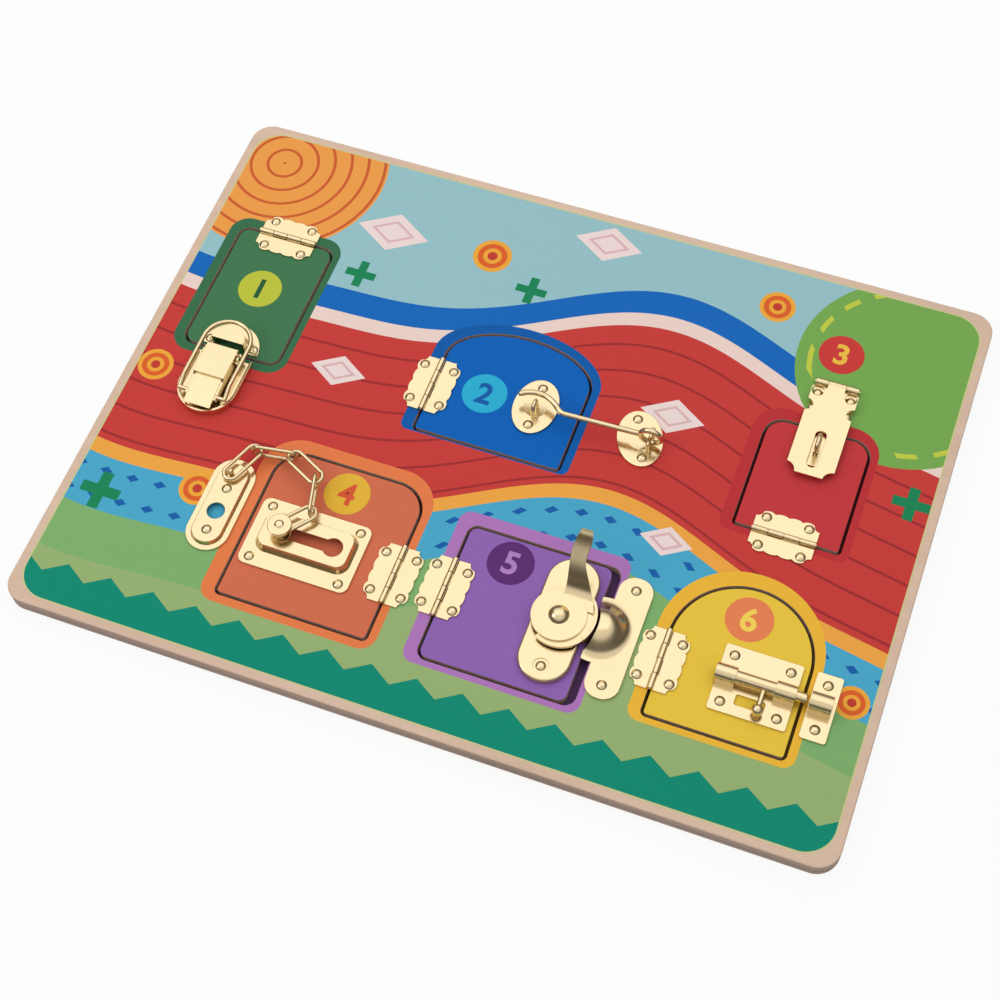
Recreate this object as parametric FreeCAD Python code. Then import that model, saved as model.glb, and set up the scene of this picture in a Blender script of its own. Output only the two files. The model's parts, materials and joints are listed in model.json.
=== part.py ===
"""Wooden busy board: a panel with six small doors, each on a butterfly hinge with its own latch.

Millimetres, +X along the long side, +Y up the picture, +Z out of the front.
The origin is the middle of the underside.
"""
import FreeCAD, Part
import math
import os

V = FreeCAD.Vector

# The panel
LENGTH = 400.0
HEIGHT = 300.0
BACK_PLY = 4.0
FRONT_PLY = 5.0
CORNER = 11.0
EDGE_ROUND = 0.8
TOP = BACK_PLY + FRONT_PLY

# The doors: left, right, bottom, top, upper corner radius, lower corner radius
GAP = 1.6
DOOR_LIFT = 0.3
OPENINGS = {
    1: (-180.5, -127.3, 7.3, 83.4, 6.5, 6.5),
    2: (-51.5, 24.8, -3.8, 64.4, 0.0, 3.0),
    3: (109.5, 162.1, -3.2, 60.0, 10.0, 2.5),
    4: (-105.9, -28.6, -116.2, -32.7, 16.0, 3.0),
    5: (-5.5, 70.5, -115.5, -42.7, 5.5, 5.5),
    6: (99.1, 166.2, -108.6, -31.5, 33.5, 3.0),
}
ARCH_RISE = 21.4
DOOR_5_GAP = 4.5

# The hinges: middle along the edge, and the side of the opening that carries the axis
HINGES = {
    1: (-154.1, "top"),
    2: (22.9, "left"),
    3: (134.8, "bottom"),
    4: (-80.4, "right"),
    5: (-78.5, "left"),
    6: (-80.4, "left"),
}
LEAF_LENGTH = 30.5
LEAF_REACH = 11.0
LEAF_SHEET = 0.8
KNUCKLE_R = 1.5
PIN_R = 0.75
PIN_FIT = 0.05
KNUCKLE_SLOT = 0.35
HINGE_SCREW_ALONG = 10.2
HINGE_SCREW_OUT = 7.6

# The screws
HEAD_R = 2.5
HEAD_H = 1.2
SHANK_R = 1.0
SHANK_DEEP = 3.6
HOLE_FIT = 0.1

# Door 1, draw latch
LATCH_X = -154.3
LATCH_TOP = 4.6
LATCH_HALF = 15.3
LATCH_BOTTOM = -29.8
LATCH_RIM = 3.6
LATCH_SHEET = 1.2
LEVER_PIVOT = (4.4, 5.5)
BAIL_PIVOT = (-21.0, 5.4)
LEVER_HALF = 8.2
LEVER_TOP = 9.4
LEVER_STEP_Y = -12.0
TONGUE_END = -27.0
TONGUE_HALF = 7.0
BAIL_HALF = 12.2
BAIL_WIRE = 2.2
BAIL_CENTRE_Y = 8.9
STRIKE_R = 15.0
STRIKE_FLAT_Y = 9.8
CAP_R = 8.6
CAP_H = 8.6

# Door 2, hook and eye
EYE_PLATE = (22.0, 31.0)
EYE_SHEET = 1.2
EYE_SCREW = 10.8
EYE_DOOR = (1.8, 27.2, 0.0)
EYE_PANEL = (55.3, 26.4, 23.0)
HOOK_WIRE = 2.8
HOOK_UP = 8.6
EYE_WIRE = 2.0
EYE_HALF = 3.7
EYE_SHIFT = (0.8, -3.2)
PANEL_EYE_HALF = 4.6
EYE_UP = 10.6
HOOK_RING = 5.0
HOOK_PIVOT = (61.0, 24.6)

# Door 3, hasp
HASP_X = 136.6
HASP_PIN_Y = 84.6
HASP_HALF = 11.5
HASP_END = 31.6
HASP_SHEET = 1.2
HASP_LEAF_LOW = 66.0
HASP_TAB = 4.6
HASP_PIN_UP = 2.2
HASP_KNUCKLE = 1.8
HASP_SLOT = (2.7, 36.0, 57.0)
HASP_STAPLE_Y = (43.6, 52.0)
HASP_STAPLE_UP = 11.5
HASP_WIRE = 2.2

# Door 4, door chain
ANCHOR = (-121.3, -72.6, 21.2, 50.6)
ANCHOR_SHEET = 1.0
ANCHOR_RAISE = 2.0
ANCHOR_POST = 1.4
TRACK = (-102.4, -46.8, -97.4, -61.4)
TRACK_SHEET = 1.0
TRACK_RAISE = 4.0
SLOT_Y = -78.3
SLOT_LEFT = -86.6
SLOT_RIGHT = -60.4
SLOT_HALF = 3.2
CHANNEL_ENDS = (9.4, 8.4)
CHANNEL_HALF = 9.2
CHANNEL_CORNER = 4.5
KEYHOLE_R = 4.9
BUTTON_NECK = 1.7
BUTTON_R = 5.8
BUTTON_THICK = 1.6
BUTTON_FOOT = 4.4
LINK_WIRE = 1.9
LINK_HALF = 3.6
LINK_LONG = 22.0
CHAIN = [
    (-122.1, -57.0, 5.2),
    (-115.7, -42.5, 6.0),
    (-96.5, -39.8, 6.6),
    (-81.6, -47.5, 7.6),
    (-76.4, -66.2, 8.6),
]
LINK_ROLL = [0.0, 90.0, 0.0, 90.0, 0.0]

# Door 5, sash lock
SASH = (50.8, -77.2)
SASH_HALF = 12.6
SASH_LONG = 64.0
SASH_RAISE = 3.2
SASH_SCREW = 24.6
ROTOR_R = 12.9
ROTOR_SHEET = 1.4
ROTOR_LOW = 4.6
CAM_R = 18.2
CAM_TIP = 14.6
SASH_KEEPER = (71.2, 87.4, -107.6, -45.0)
SASH_PLATE = 1.2
SASH_CORNER = 7.6
HOOD_CENTRE = (70.0, -75.4)
HOOD_R = 16.6
HOOD_FLAT = 6.0
HOOD_TOP = 9.6
HOOD_SHEET = 1.0
ROTOR_ROOM = 0.6
RIVET_R = 4.8
HANDLE_SHEET = 1.3
HANDLE_BEND = 9.5
HANDLE_TIP = 34.0
HANDLE_UP = 24.0
WALL_R = 17.6
WALL_H = 5.0
WALL_FROM = -32.0
WALL_TO = 38.0

# Door 6, barrel bolt
BOLT_BASE = (126.0, 162.0, -95.6, -62.6)
BOLT_SHEET = 1.0
BOLT_Y = -79.0
BOLT_R = 3.1
BOLT_UP = 4.9
BOLT_TIP_R = 2.5
BOLT_TIP_END = 167.4
BOLT_STEP = 158.4
BOLT_FIT = 0.15
KEEPER_FIT = 0.5
STRAPS = ((125.4, 134.8), (152.8, 162.2))
STRAP_SHEET = 1.0
KNOB_X = 148.0
KNOB_WIRE = 1.25
KNOB_BALL = 2.8
KNOB_OUT = 12.2
KEEPER = (168.2, 180.2, -95.6, -62.7)


def wire(points):
    """A closed wire through corner points; a tuple of two points is an arc by its middle and end."""
    edges = []
    last = points[0]
    for item in points[1:] + [points[0]]:
        if isinstance(item, tuple):
            edges.append(Part.Arc(last, item[0], item[1]).toShape())
            last = item[1]
        elif (item - last).Length > 1e-6:
            edges.append(Part.LineSegment(last, item).toShape())
            last = item
    return Part.Wire(edges)


def slab(outline, low, thick):
    """A flat piece with the given outline, starting at height low."""
    solid = Part.Face(outline).extrude(V(0, 0, thick))
    solid.translate(V(0, 0, low))
    return solid


def rounded(left, right, bottom, top, upper, lower):
    """A four-sided outline with round corners, upper pair and lower pair."""
    c = math.sqrt(0.5)
    a, b = lower, upper
    points = [
        V(left + a, bottom, 0),
        V(right - a, bottom, 0),
        (V(right - a + a * c, bottom + a - a * c, 0), V(right, bottom + a, 0)),
        V(right, top - b, 0),
        (V(right - b + b * c, top - b + b * c, 0), V(right - b, top, 0)),
        V(left + b, top, 0),
        (V(left + b - b * c, top - b + b * c, 0), V(left, top - b, 0)),
        V(left, bottom + a, 0),
        (V(left + a - a * c, bottom + a - a * c, 0), V(left + a, bottom, 0)),
    ]
    return wire(points)


def arched(left, right, bottom, top, rise, lower):
    """An outline with a half-ellipse over straight sides."""
    c = math.sqrt(0.5)
    middle = (left + right) / 2
    half = (right - left) / 2
    spring = top - rise
    curve = Part.Ellipse(V(middle, spring, 0), half, rise)
    arc = Part.ArcOfEllipse(curve, 0.0, math.pi).toShape()
    a = lower
    d = a - a * c
    edges = [
        arc,
        Part.LineSegment(V(left, spring, 0), V(left, bottom + a, 0)).toShape(),
        Part.Arc(V(left, bottom + a, 0), V(left + d, bottom + d, 0), V(left + a, bottom, 0)).toShape(),
        Part.LineSegment(V(left + a, bottom, 0), V(right - a, bottom, 0)).toShape(),
        Part.Arc(V(right - a, bottom, 0), V(right - d, bottom + d, 0), V(right, bottom + a, 0)).toShape(),
        Part.LineSegment(V(right, bottom + a, 0), V(right, spring, 0)).toShape(),
    ]
    return Part.Wire(edges)


def door_outline(number, inset):
    """The outline of an opening, or of its door when inset by the gap."""
    left, right, bottom, top, upper, lower = OPENINGS[number]
    extra = DOOR_5_GAP - GAP if number == 5 and inset else 0.0
    box = (left + inset, right - inset - extra, bottom + inset, top - inset)
    small = max(lower - inset, 0.8)
    if number == 2:
        return arched(*box, ARCH_RISE - inset, small)
    return rounded(*box, upper - inset, small)


def hinge_axis(number):
    """The middle of the hinge axis, and the quarter turns that face the leaf to the door."""
    along, side = HINGES[number]
    left, right, bottom, top, _, _ = OPENINGS[number]
    edge = {"left": left, "right": right, "bottom": bottom, "top": top}[side]
    turn = {"left": 0, "bottom": 90, "right": 180, "top": 270}[side]
    inward = 1 if side in ("left", "bottom") else -1
    if side in ("left", "right"):
        return V(edge + inward * GAP / 2, along, TOP + KNUCKLE_R), turn
    return V(along, edge + inward * GAP / 2, TOP + KNUCKLE_R), turn


def leaf(own):
    """A hinge leaf reaching to +X from an axis along Y; own is 0 or 1 for its knuckles."""
    half = LEAF_LENGTH / 2
    reach = LEAF_REACH
    points = [
        V(0, -half, 0),
        V(reach - 3.6, -half, 0),
        (V(reach - 2.9, -half + 2.1, 0), V(reach - 1.0, -half + 3.0, 0)),
        (V(reach, -half + 5.8, 0), V(reach - 1.0, -half + 8.6, 0)),
        (V(reach - 0.1, -half + 11.9, 0), V(reach - 0.9, 0, 0)),
        (V(reach - 0.1, half - 11.9, 0), V(reach - 1.0, half - 8.6, 0)),
        (V(reach, half - 5.8, 0), V(reach - 1.0, half - 3.0, 0)),
        (V(reach - 2.9, half - 2.1, 0), V(reach - 3.6, half, 0)),
        V(0, half, 0),
    ]
    body = slab(wire(points), -KNUCKLE_R, LEAF_SHEET)
    share = LEAF_LENGTH / 4
    for k in range(4):
        start = -half + k * share
        if k % 2 == own:
            length = share - KNUCKLE_SLOT / 2 * (2 if 0 < k < 3 else 1)
            first = start + (KNUCKLE_SLOT / 2 if k > 0 else 0)
            body = body.fuse(Part.makeCylinder(KNUCKLE_R, length, V(0, first, 0), V(0, 1, 0)))
    for k in range(4):
        start = -half + k * share
        if k % 2 != own:
            cut = Part.makeCylinder(KNUCKLE_R + KNUCKLE_SLOT, share + 0.002, V(0, start - 0.001, 0), V(0, 1, 0))
            body = body.cut(cut)
    body = body.cut(Part.makeCylinder(PIN_R + PIN_FIT, LEAF_LENGTH + 2, V(0, -half - 1, 0), V(0, 1, 0)))
    for y in (-HINGE_SCREW_ALONG, HINGE_SCREW_ALONG):
        body = body.cut(Part.makeCylinder(SHANK_R + HOLE_FIT, 4, V(HINGE_SCREW_OUT, y, -3)))
    return body.removeSplitter()


def turned(shape, turn, move):
    """The shape turned about Z by degrees and then moved."""
    done = shape.copy()
    done.rotate(V(0, 0, 0), V(0, 0, 1), turn)
    done.translate(move)
    return done


def spot(turn, move, x, y):
    """A local point taken through the same turn and move, as a plain (x, y)."""
    a = math.radians(turn)
    return (move.x + x * math.cos(a) - y * math.sin(a), move.y + x * math.sin(a) + y * math.cos(a))


def hinge_screws(number, side):
    """Screw places of one leaf: side 1 on the door, -1 on the panel."""
    place, turn = hinge_axis(number)
    return [spot(turn, place, side * HINGE_SCREW_OUT, y) for y in (-HINGE_SCREW_ALONG, HINGE_SCREW_ALONG)]


def screw(x, y, seat):
    """A dome-head screw with its head resting at height seat."""
    ball = (HEAD_R ** 2 + HEAD_H ** 2) / (2 * HEAD_H)
    dome = Part.makeSphere(ball, V(0, 0, HEAD_H - ball))
    head = dome.common(Part.makeBox(20, 20, 20, V(-10, -10, 0)))
    shank = Part.makeCylinder(SHANK_R, seat - TOP + SHANK_DEEP, V(0, 0, TOP - SHANK_DEEP - seat))
    done = head.fuse(shank)
    done.translate(V(x, y, seat))
    return done.removeSplitter()


def drilled(shape, places):
    """The shape with a clearance hole at each screw place."""
    for x, y in places:
        shape = shape.cut(Part.makeCylinder(SHANK_R + HOLE_FIT, 40, V(x, y, TOP - SHANK_DEEP - 0.4)))
    return shape


def rod(points, radius):
    """A round bar through the points with ball corners."""
    body = None
    for a, b in zip(points, points[1:]):
        piece = Part.makeCylinder(radius, (b - a).Length, a, b - a)
        body = piece if body is None else body.fuse(piece)
    for corner in points[1:-1]:
        body = body.fuse(Part.makeSphere(radius, corner))
    return body


def swept(path, radius):
    """A round bar along a smooth wire."""
    first = path.Edges[0]
    start = first.valueAt(first.FirstParameter)
    ring = Part.Wire(Part.makeCircle(radius, start, first.tangentAt(first.FirstParameter)))
    return path.makePipeShell([ring], True, False)


def staple(half, up, foot):
    """A wire arch in the YZ plane standing on height foot, with round shoulders."""
    r = EYE_WIRE / 2
    bend = half - r
    crown = up - r - bend
    arch = Part.Wire([
        Part.LineSegment(V(0, -bend, foot), V(0, -bend, foot + crown)).toShape(),
        Part.Arc(V(0, -bend, foot + crown), V(0, 0, foot + crown + bend), V(0, bend, foot + crown)).toShape(),
        Part.LineSegment(V(0, bend, foot + crown), V(0, bend, foot)).toShape(),
    ])
    return swept(arch, r)


def latch_base_screws():
    """Two screws that hold the draw latch base; the lever hides them."""
    return [(LATCH_X, -2.0), (LATCH_X, -14.0)]


def latch_outline(inset):
    """The U-shaped outline of the draw latch base."""
    half = LATCH_HALF - inset
    low = LATCH_BOTTOM + LATCH_HALF
    return wire([
        V(LATCH_X - half, LATCH_TOP, 0),
        V(LATCH_X - half, low, 0),
        (V(LATCH_X, low - half, 0), V(LATCH_X + half, low, 0)),
        V(LATCH_X + half, LATCH_TOP, 0),
    ])


def latch_base():
    """Dished base with two lugs that carry the lever pin."""
    body = slab(latch_outline(0), TOP, LATCH_RIM)
    body = body.cut(slab(latch_outline(LATCH_SHEET), TOP + LATCH_SHEET, LATCH_RIM))
    y, z = LEVER_PIVOT
    for side in (-1, 1):
        near = LEVER_HALF + 0.35
        x = LATCH_X + side * near if side > 0 else LATCH_X - near - 1.2
        lug = Part.makeBox(1.2, 6.0, z + LATCH_SHEET - 0.8, V(x, y - 5.0, TOP + 0.8))
        lug = lug.fuse(Part.makeCylinder(2.2, 1.2, V(x, y - 2.2, TOP + z), V(1, 0, 0)))
        body = body.fuse(lug.common(Part.makeBox(1.2, 7.0, 20, V(x, y - 5.0, TOP))))
    body = body.cut(Part.makeCylinder(1.0 + PIN_FIT, 40, V(LATCH_X - 20, y, TOP + z), V(1, 0, 0)))
    return drilled(body, latch_base_screws()).removeSplitter()


def latch_pin():
    """The pin through both lugs and the lever."""
    y, z = LEVER_PIVOT
    reach = LEVER_HALF + 1.9
    return Part.makeCylinder(1.0, 2 * reach, V(LATCH_X - reach, y, TOP + z), V(1, 0, 0))


def latch_lever():
    """Bent sheet lever: a flat top plate, a step and a curved tongue, with side cheeks."""
    sheet = LATCH_SHEET
    y1, z1 = LEVER_PIVOT
    top = TOP + LEVER_TOP
    front = y1 + 1.9
    roof = [
        V(0, front, TOP + z1 + 3.0),
        (V(0, front - 0.3, top - 0.3), V(0, front - 1.2, top)),
        V(0, LEVER_STEP_Y, top),
        V(0, LEVER_STEP_Y, top - sheet),
        V(0, front - 1.4, top - sheet),
        V(0, front - sheet, TOP + z1 + 3.0),
    ]
    plate = Part.Face(wire(roof)).extrude(V(2 * LEVER_HALF, 0, 0))
    plate.translate(V(LATCH_X - LEVER_HALF, 0, 0))
    low = top - 1.5
    tail = [
        V(0, LEVER_STEP_Y + 0.6, top - sheet + 0.1),
        V(0, LEVER_STEP_Y + 0.6, low - sheet),
        (V(0, -19.5, low - sheet - 1.2), V(0, TONGUE_END, TOP + 4.6)),
        V(0, TONGUE_END - 0.9, TOP + 5.4),
        (V(0, -20.0, low - 1.0), V(0, LEVER_STEP_Y, low)),
        V(0, LEVER_STEP_Y, top - sheet + 0.1),
    ]
    tongue = Part.Face(wire(tail)).extrude(V(2 * TONGUE_HALF, 0, 0))
    tongue.translate(V(LATCH_X - TONGUE_HALF, 0, 0))
    body = plate.fuse(tongue)
    by, bz = BAIL_PIVOT
    wall = LEVER_HALF - TONGUE_HALF + 0.2
    cheek = [
        V(0, y1 + 1.6, top - sheet - 0.6),
        V(0, y1 + 1.8, TOP + z1),
        (V(0, y1, TOP + z1 - 1.9), V(0, y1 - 2.4, TOP + z1 - 1.5)),
        V(0, by - 1.9, TOP + bz - 1.9),
        V(0, by - 2.2, TOP + bz + 0.8),
        V(0, LEVER_STEP_Y - 1.0, low - 0.5),
        V(0, LEVER_STEP_Y + 0.3, top - 0.6),
        V(0, y1 + 0.2, top - 0.6),
    ]
    for x in (-LEVER_HALF + 0.02, LEVER_HALF - wall - 0.02):
        side = Part.Face(wire(cheek)).extrude(V(wall, 0, 0))
        side.translate(V(LATCH_X + x, 0, 0))
        body = body.fuse(side)
    for (y, z), r in ((LEVER_PIVOT, 1.0), (BAIL_PIVOT, BAIL_WIRE / 2)):
        body = body.cut(Part.makeCylinder(r + PIN_FIT, 40, V(LATCH_X - 20, y, TOP + z), V(1, 0, 0)))
    return body.removeSplitter()


def latch_bail():
    """The wire loop from the lever round the strike."""
    by, bz = BAIL_PIVOT
    up = TOP + bz
    level = TOP + 8.2
    r = BAIL_WIRE / 2
    ends = LEVER_HALF - 1.2
    body = None
    for side in (-1, 1):
        x = LATCH_X + side * BAIL_HALF
        eye = V(LATCH_X + side * ends, by, up)
        points = [eye, V(x, by, up), V(x, by + 7, level), V(x, BAIL_CENTRE_Y, level)]
        arm = rod(points, r)
        body = arm if body is None else body.fuse(arm)
    half = Part.makeTorus(BAIL_HALF, r, V(0, 0, 0), V(0, 0, 1))
    half = half.common(Part.makeBox(60, 30, 10, V(-30, 0, -5)))
    half.translate(V(LATCH_X, BAIL_CENTRE_Y, level))
    return body.fuse(half).removeSplitter()


def latch_strike_screws():
    """Two screws at the sides of the strike cap."""
    return [(LATCH_X - 11.8, STRIKE_FLAT_Y + 3.0), (LATCH_X + 11.8, STRIKE_FLAT_Y + 3.0)]


def half_round(radius, y):
    """A half-round outline with its flat edge at y."""
    return wire([
        V(LATCH_X + radius, y, 0),
        (V(LATCH_X, y + radius, 0), V(LATCH_X - radius, y, 0)),
    ])


def latch_strike():
    """Half-round plate with a hollow half-round cap open towards the lever."""
    body = slab(half_round(STRIKE_R, STRIKE_FLAT_Y), TOP, 1.0)
    body = body.fuse(slab(half_round(CAP_R, STRIKE_FLAT_Y), TOP, CAP_H))
    body = body.cut(slab(half_round(CAP_R - 1.1, STRIKE_FLAT_Y - 0.01), TOP - 1, CAP_H - 0.1))
    return drilled(body, latch_strike_screws()).removeSplitter()


def oval(place):
    """The oval dished plate of the hook and eye set, at (x, y, turn)."""
    wide, tall = EYE_PLATE
    rim = Part.Wire(Part.Ellipse(V(0, 0, 0), tall / 2, wide / 2).toShape())
    body = slab(rim, 0, EYE_SHEET)
    dish = Part.makeSphere(30, V(0, 0, 30 + EYE_SHEET - 0.6))
    body = body.cut(dish)
    body.rotate(V(0, 0, 0), V(0, 0, 1), 90)
    return turned(body, place[2], V(place[0], place[1], TOP))


def eye_screws(place):
    """The two screw places of an oval plate."""
    return [spot(place[2], V(place[0], place[1], 0), 0, y) for y in (-EYE_SCREW, EYE_SCREW)]


def eye_legs(x, y, half):
    """The two leg places of an eye."""
    return [(x, y - half), (x, y + half)]


def eye_plate(place, legs):
    """The oval plate with its screw holes and the two holes that the eye is riveted in."""
    body = drilled(oval(place), eye_screws(place))
    for x, y in legs:
        body = body.cut(Part.makeCylinder(EYE_WIRE / 2 + PIN_FIT, 4, V(x, y, TOP - 1)))
    return body


def door_eye_legs():
    """The leg places of the eye on the door."""
    return eye_legs(EYE_DOOR[0] + EYE_SHIFT[0], EYE_DOOR[1] + EYE_SHIFT[1], EYE_HALF - EYE_WIRE / 2)


def panel_eye_legs():
    """The leg places of the eye on the panel."""
    return eye_legs(HOOK_PIVOT[0], HOOK_PIVOT[1], PANEL_EYE_HALF)


def hook_staple_door():
    """The eye that the hook passes through."""
    body = staple(EYE_HALF, EYE_UP, 0.0)
    body.translate(V(EYE_DOOR[0] + EYE_SHIFT[0], EYE_DOOR[1] + EYE_SHIFT[1], TOP))
    return body


def hook_staple_panel():
    """The eye that carries the hook; its crown is the pivot."""
    r = EYE_WIRE / 2
    half = PANEL_EYE_HALF
    level = HOOK_UP
    x, y = HOOK_PIVOT
    near = [V(x, y - half, TOP), V(x, y - half, TOP + level)]
    far = [V(x, y + half, TOP + level), V(x, y + half, TOP)]
    return rod(near + far, r)


def hook():
    """The hook: an eye ring, a straight shank and the curved end through the door eye."""
    x, y = HOOK_PIVOT
    r = HOOK_WIRE / 2
    level = TOP + HOOK_UP
    ring = Part.makeTorus(HOOK_RING, r, V(x, y, level), V(0, 1, 0))
    start = V(x - HOOK_RING, y, level)
    bend = V(18.6, y - 1.3, level)
    peak = V(5.4, y + 5.5, level)
    tip = V(-5.6, y + 3.0, level)
    lean = (bend - start).normalize()
    curve = Part.BSplineCurve()
    points = [bend, V(13.2, y + 1.4, level), peak, tip]
    curve.interpolate(Points=points, InitialTangent=lean, FinalTangent=V(-0.8, -0.6, 0))
    path = Part.Wire([Part.LineSegment(start, bend).toShape(), curve.toShape()])
    body = swept(path, r).fuse(Part.makeSphere(r, tip))
    return ring.fuse(body)


def hasp_screws_panel():
    """Screws of the fixed hasp leaf, seen through the side notches of the strap."""
    return [(HASP_X - 8.2, 70.0), (HASP_X + 8.2, 70.0), (HASP_X - 8.2, 78.6), (HASP_X + 8.2, 78.6)]


def hasp_knuckle(own):
    """Knuckle pieces along the hasp pin: the tab in the middle belongs to the strap."""
    z = TOP + HASP_PIN_UP
    if own == "strap":
        start = V(HASP_X - HASP_TAB + 0.3, HASP_PIN_Y, z)
        return Part.makeCylinder(HASP_KNUCKLE, 2 * HASP_TAB - 0.6, start, V(1, 0, 0))
    parts = []
    for x in (HASP_X - HASP_HALF + 1.0, HASP_X + HASP_TAB):
        length = HASP_HALF - HASP_TAB - 1.0
        parts.append(Part.makeCylinder(HASP_KNUCKLE, length, V(x, HASP_PIN_Y, z), V(1, 0, 0)))
    return parts[0].fuse(parts[1])


def hasp_bore():
    """The pin's hole through every knuckle."""
    start = V(HASP_X - 20, HASP_PIN_Y, TOP + HASP_PIN_UP)
    return Part.makeCylinder(PIN_R + PIN_FIT, 40, start, V(1, 0, 0))


def hasp_leaf():
    """The fixed leaf screwed to the panel under the strap."""
    corner = V(HASP_X - HASP_HALF + 1, HASP_LEAF_LOW, TOP)
    body = Part.makeBox(2 * HASP_HALF - 2, HASP_PIN_Y - HASP_LEAF_LOW, 1.0, corner)
    start = V(HASP_X - HASP_TAB, HASP_PIN_Y, TOP + HASP_PIN_UP)
    room = Part.makeCylinder(HASP_KNUCKLE + 0.4, 2 * HASP_TAB, start, V(1, 0, 0))
    body = body.cut(room).fuse(hasp_knuckle("leaf"))
    body = body.cut(hasp_bore())
    return drilled(body, hasp_screws_panel()).removeSplitter()


def hasp_strap():
    """The slotted strap with side notches, hollow lower corners and the pin tab at the top."""
    low, high = TOP + 2.5, HASP_SHEET
    left, right = HASP_X - HASP_HALF, HASP_X + HASP_HALF
    bite = 4.6
    inner = bite * 0.7
    points = [
        V(left + bite, HASP_END, 0),
        V(right - bite, HASP_END, 0),
        (V(right - inner, HASP_END + inner, 0), V(right, HASP_END + bite, 0)),
        V(right, 66.6, 0),
        (V(right - 3.2, 69.8, 0), V(right, 73.0, 0)),
        V(right, HASP_PIN_Y - 3.6, 0),
        V(HASP_X + HASP_TAB - 0.3, HASP_PIN_Y - 3.6, 0),
        V(HASP_X + HASP_TAB - 0.3, HASP_PIN_Y, 0),
        V(HASP_X - HASP_TAB + 0.3, HASP_PIN_Y, 0),
        V(HASP_X - HASP_TAB + 0.3, HASP_PIN_Y - 3.6, 0),
        V(left, HASP_PIN_Y - 3.6, 0),
        V(left, 73.0, 0),
        (V(left + 3.2, 69.8, 0), V(left, 66.6, 0)),
        V(left, HASP_END + bite, 0),
        (V(left + inner, HASP_END + inner, 0), V(left + bite, HASP_END, 0)),
    ]
    body = slab(wire(points), low, high).fuse(hasp_knuckle("strap"))
    half, start, stop = HASP_SLOT
    body = body.cut(slab(rounded(HASP_X - half, HASP_X + half, start, stop, half - 0.1, half - 0.1), low - 1, 5))
    body = body.cut(hasp_bore())
    for x in (-8.2, 8.2):
        body = body.cut(Part.makeCylinder(3.0, 8, V(HASP_X + x, 78.6, TOP + 1.5)))
    return body.removeSplitter()


def hasp_pin():
    """The hasp pin, its ends just proud of the knuckles."""
    start = V(HASP_X - HASP_HALF + 0.3, HASP_PIN_Y, TOP + HASP_PIN_UP)
    return Part.makeCylinder(PIN_R, 2 * HASP_HALF - 0.6, start, V(1, 0, 0))


def hasp_plate():
    """The small plate on the door under the strap."""
    low, high = HASP_STAPLE_Y
    return slab(rounded(HASP_X - 10.4, HASP_X + 10.4, low - 5.0, high + 4.0, 2.5, 2.5), TOP, 0.9)


def hasp_staple():
    """The wire staple standing in the strap slot."""
    low, high = HASP_STAPLE_Y
    r = HASP_WIRE / 2
    half = (high - low) / 2
    rise = HASP_STAPLE_UP - half - r
    arch = Part.Wire([
        Part.LineSegment(V(0, low, 0.9), V(0, low, rise)).toShape(),
        Part.Arc(V(0, low, rise), V(0, (low + high) / 2, rise + half), V(0, high, rise)).toShape(),
        Part.LineSegment(V(0, high, rise), V(0, high, 0.9)).toShape(),
    ])
    body = swept(arch, r)
    body.translate(V(HASP_X, 0, TOP))
    return body


def raised_shell(outline, inner, sheet, raise_by):
    """A plate with a raised middle: outline and inner are functions of a growth."""
    plate = slab(outline(0), TOP, sheet)
    bottom = inner(raise_by * 0.45)
    upper = inner(0)
    upper.translate(V(0, 0, raise_by))
    hill = Part.makeLoft([bottom, upper], True)
    hill.translate(V(0, 0, TOP + sheet))
    low = inner(raise_by * 0.45 - sheet)
    high = inner(-sheet)
    high.translate(V(0, 0, raise_by))
    hollow = Part.makeLoft([low, high], True)
    hollow.translate(V(0, 0, TOP - 0.001))
    return plate.fuse(hill).cut(hollow)


def anchor_outline(grow):
    """The outer stadium of the chain anchor plate."""
    x, y, wide, tall = ANCHOR
    half = wide / 2 + grow
    return rounded(x - half, x + half, y - tall / 2 - grow, y + tall / 2 + grow, half - 0.01, half - 0.01)


def anchor_inner(grow):
    """The raised inner stadium of the anchor plate."""
    x, y, wide, tall = ANCHOR
    half = wide / 2 - 3.4 + grow
    long = tall / 2 - 3.4 + grow
    return rounded(x - half, x + half, y - long, y + long, half - 0.01, half - 0.01)


def anchor_screws():
    """The two screws of the anchor plate."""
    return [(ANCHOR[0], -64.8), (ANCHOR[0], -88.0)]


def chain_anchor():
    """Stadium plate with a raised middle, a storage hole and the eye that holds the first link."""
    body = raised_shell(anchor_outline, anchor_inner, ANCHOR_SHEET, ANCHOR_RAISE)
    x, y, up = CHAIN[0]
    top = TOP + ANCHOR_SHEET + ANCHOR_RAISE
    body = body.cut(Part.makeCylinder(4.4, 20, V(ANCHOR[0], -77.4, TOP - 1)))
    high = TOP + up + LINK_WIRE / 2 + 0.2
    post = Part.makeCylinder(ANCHOR_POST, high - top + 0.8, V(x, y, top - 0.8))
    post = post.fuse(Part.makeSphere(ANCHOR_POST, V(x, y, high)))
    return drilled(body.fuse(post), anchor_screws()).removeSplitter()


def track_outline(grow):
    """The outer rectangle of the track plate."""
    left, right, bottom, top = TRACK
    return rounded(left - grow, right + grow, bottom - grow, top + grow, 4.0, 4.0)


def track_inner(grow):
    """The raised channel of the track plate."""
    left = SLOT_LEFT - CHANNEL_ENDS[0] - grow
    right = SLOT_RIGHT + CHANNEL_ENDS[1] + grow
    half = CHANNEL_HALF + grow
    return rounded(left, right, SLOT_Y - half, SLOT_Y + half, CHANNEL_CORNER + grow, CHANNEL_CORNER + grow)


def track_screws():
    """The four corner screws of the track plate."""
    left, right, bottom, top = TRACK
    return [(x, y) for x in (left + 5.2, right - 5.2) for y in (bottom + 4.0, top - 4.0)]


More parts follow.
